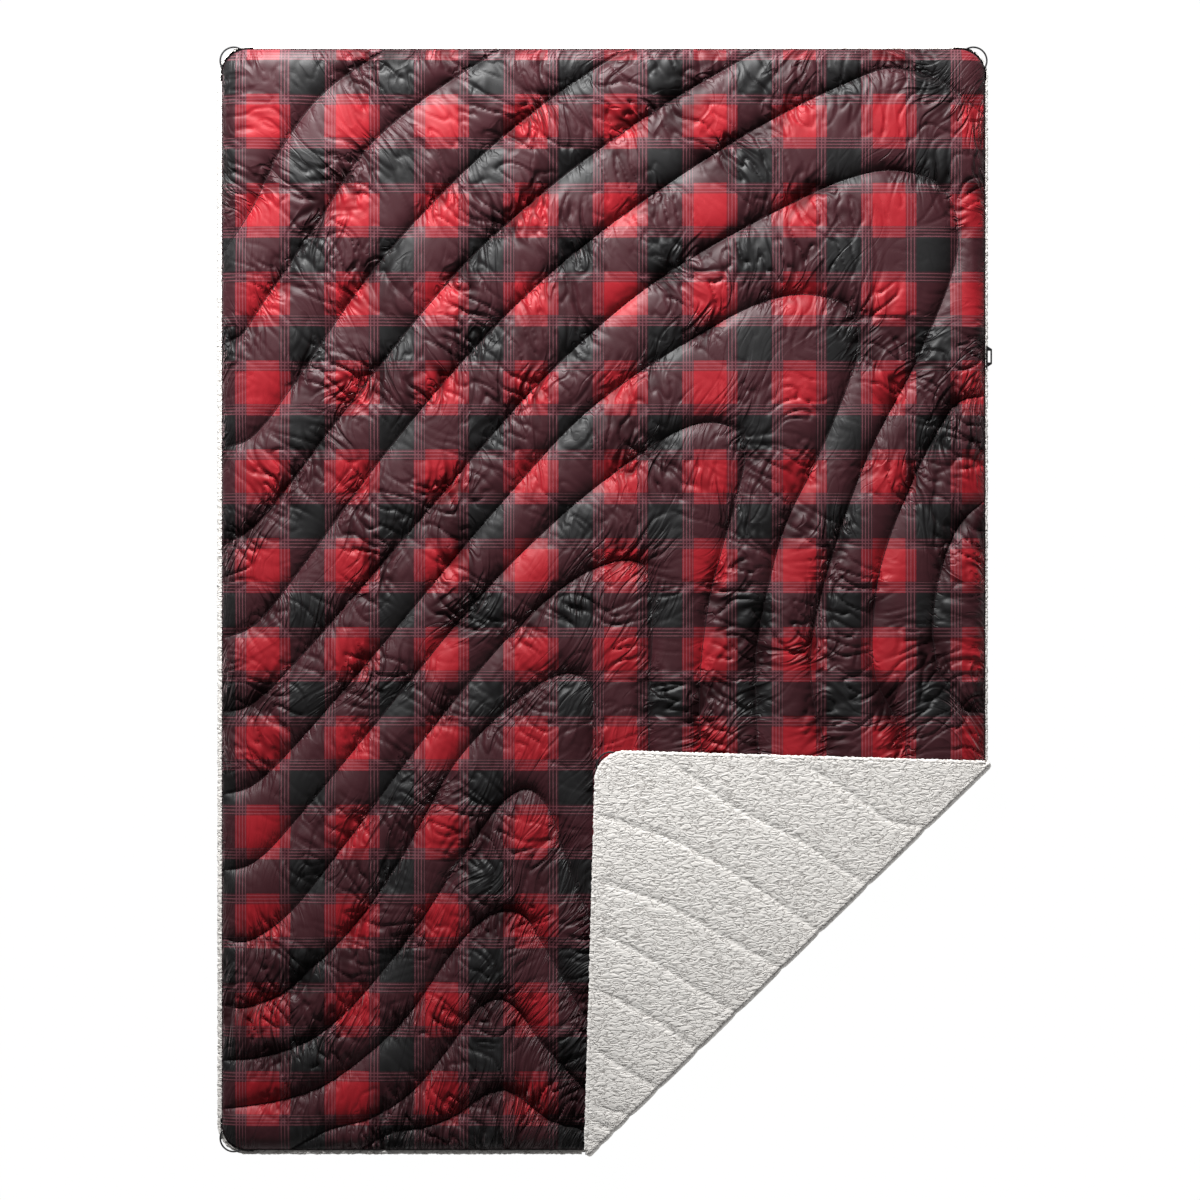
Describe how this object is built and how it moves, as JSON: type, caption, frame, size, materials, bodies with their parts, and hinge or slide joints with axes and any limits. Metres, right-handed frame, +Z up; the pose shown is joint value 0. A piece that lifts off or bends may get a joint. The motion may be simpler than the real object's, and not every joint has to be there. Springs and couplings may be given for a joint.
{
  "type": "camp blanket",
  "caption": "Quilted camp blanket lying face up: plaid ripstop face, insulation, sherpa back, curving quilting rows, cord loops at the corners, one corner folded over.",
  "frame": {"origin": "under the middle of the whole piece, side tab included, on the surface it lies on", "axes": "+Y along the blanket towards the edge away from the folded corner, +X towards the side with the tab, +Z up, out of the face"},
  "size_m": [1.338, 1.9154, 0.0425],
  "materials": {
    "face_cloth": "woven ripstop with a faint sheen, red and black plaid",
    "sherpa_pile": "curly off-white pile",
    "hollow_fibre": "loose white fibre sheet",
    "sewing_thread": "matt twisted thread",
    "nylon_cord": "braided cord",
    "moulded_nylon": "satin black"
  },
  "bodies": {
    "blanket_sheet": {"face_shell_main": "face_cloth", "insulation_main": "hollow_fibre", "sherpa_back_main": "sherpa_pile", "fold_roll": "sherpa_pile", "edge_thread_main": "sewing_thread", "quilt_01": "sewing_thread", "quilt_02": "sewing_thread", "quilt_03": "sewing_thread", "quilt_04": "sewing_thread", "quilt_05": "sewing_thread", "quilt_06": "sewing_thread", "quilt_07": "sewing_thread", "quilt_08": "sewing_thread", "quilt_09": "sewing_thread", "quilt_10": "sewing_thread", "quilt_11": "sewing_thread", "quilt_12": "sewing_thread", "quilt_13": "sewing_thread", "quilt_14": "sewing_thread", "side_quilt_1": "sewing_thread", "side_quilt_2": "sewing_thread"},
    "folded_corner": {"face_shell_corner": "face_cloth", "insulation_corner": "hollow_fibre", "sherpa_back_corner": "sherpa_pile", "edge_thread_corner": "sewing_thread", "corner_quilt_06": "sewing_thread", "corner_quilt_07": "sewing_thread", "corner_quilt_08": "sewing_thread", "corner_quilt_09": "sewing_thread", "corner_quilt_10": "sewing_thread", "corner_quilt_11": "sewing_thread", "corner_side_quilt_1": "sewing_thread"},
    "loop_top_left": {"loop_top_left": "nylon_cord"},
    "loop_top_right": {"loop_top_right": "nylon_cord"},
    "loop_bottom_left": {"loop_bottom_left": "nylon_cord"},
    "loop_folded_corner": {"loop_folded_corner": "nylon_cord"},
    "side_tab": {"side_tab": "moulded_nylon"}
  },
  "joints": [
    {"name": "corner_fold", "type": "hinge", "parent": "blanket_sheet", "child": "folded_corner", "pos_m": [0.3226, -0.6095, 0.02125], "axis": [0.717, 0.6971, 0], "range_deg": [0, 180], "deforming": ["fold_roll"]},
    {"name": "loop_top_left_swing", "type": "hinge", "parent": "blanket_sheet", "child": "loop_top_left", "pos_m": [-0.64881, 0.93741, 0.0078], "axis": [0.7071, 0.7071, 0], "range_deg": [0, 110]},
    {"name": "loop_top_right_swing", "type": "hinge", "parent": "blanket_sheet", "child": "loop_top_right", "pos_m": [0.64101, 0.93741, 0.0078], "axis": [0.7071, -0.7071, 0], "range_deg": [0, 110]},
    {"name": "loop_bottom_left_swing", "type": "hinge", "parent": "blanket_sheet", "child": "loop_bottom_left", "pos_m": [-0.64881, -0.93741, 0.0078], "axis": [-0.7071, 0.7071, 0], "range_deg": [0, 110]},
    {"name": "loop_folded_corner_swing", "type": "hinge", "parent": "folded_corner", "child": "loop_folded_corner", "pos_m": [0.00376, -0.28201, 0.0347], "axis": [-0.7267, -0.687, 0], "range_deg": [0, 45]},
    {"name": "side_tab_swing", "type": "hinge", "parent": "blanket_sheet", "child": "side_tab", "pos_m": [0.6585, 0.4205, 0.0073], "axis": [0, -1, 0], "range_deg": [0, 110]}
  ]
}
